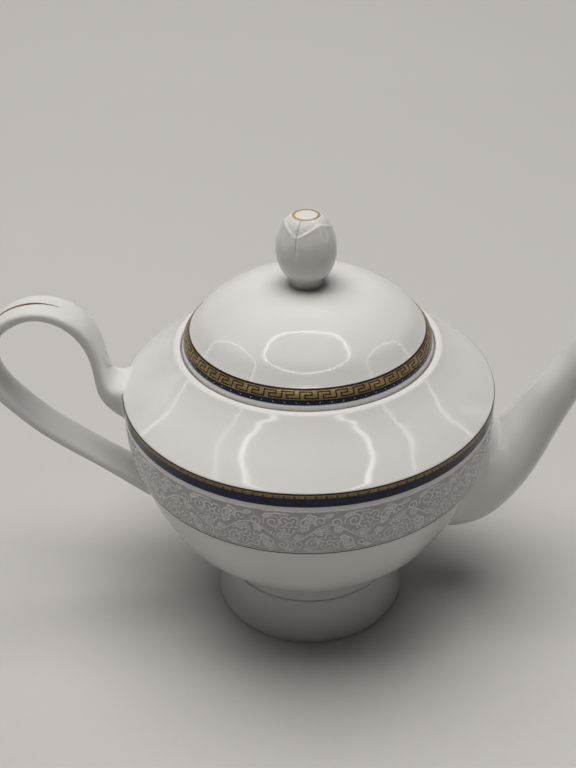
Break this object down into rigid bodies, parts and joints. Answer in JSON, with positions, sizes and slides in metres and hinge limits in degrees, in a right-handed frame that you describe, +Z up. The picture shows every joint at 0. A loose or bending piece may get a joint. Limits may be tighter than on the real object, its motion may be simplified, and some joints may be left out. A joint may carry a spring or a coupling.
{
  "type": "teapot",
  "caption": "Footed white porcelain teapot with a curved spout, a strap loop handle, a lift-off lid with rosebud knob, and gold, cobalt and lace bands.",
  "frame": {"origin": "centre of the foot ring, on the surface that the pot stands on, on the axis of the body", "axes": "+X from the handle towards the spout, the longest extent; +Y across the pot, the shortest extent; +Z up along the axis of the body and lid"},
  "size_m": [0.28, 0.1604, 0.1934],
  "materials": {
    "porcelain": "clear glaze over hard white porcelain",
    "gold": "fired-on gold lustre over the glaze",
    "cobalt": "deep cobalt under the glaze",
    "lace": "pale grey transfer with raised white lace",
    "relief_white": "raised white enamel"
  },
  "bodies": {
    "pot": {"foot": "porcelain", "bowl": "porcelain", "shoulder": "porcelain", "strainer": "porcelain", "spout": "porcelain", "handle": "porcelain", "shoulder_gold_band": "gold", "shoulder_cobalt_band": "cobalt", "lace_top_line": "relief_white", "lace_band": "lace", "lace_gold_line": "gold", "handle_gold_line": "gold"},
    "lid": {"lid": "porcelain", "lid_flange": "porcelain", "lid_lug": "porcelain", "knob": "porcelain", "knob_gold_ring": "gold", "lid_gold_band": "gold", "lid_cobalt_band": "cobalt"}
  },
  "joints": [
    {"name": "lid_lift", "type": "slide", "parent": "pot", "child": "lid", "axis": [0, 0, 1], "range_m": [0, 0.08]}
  ]
}
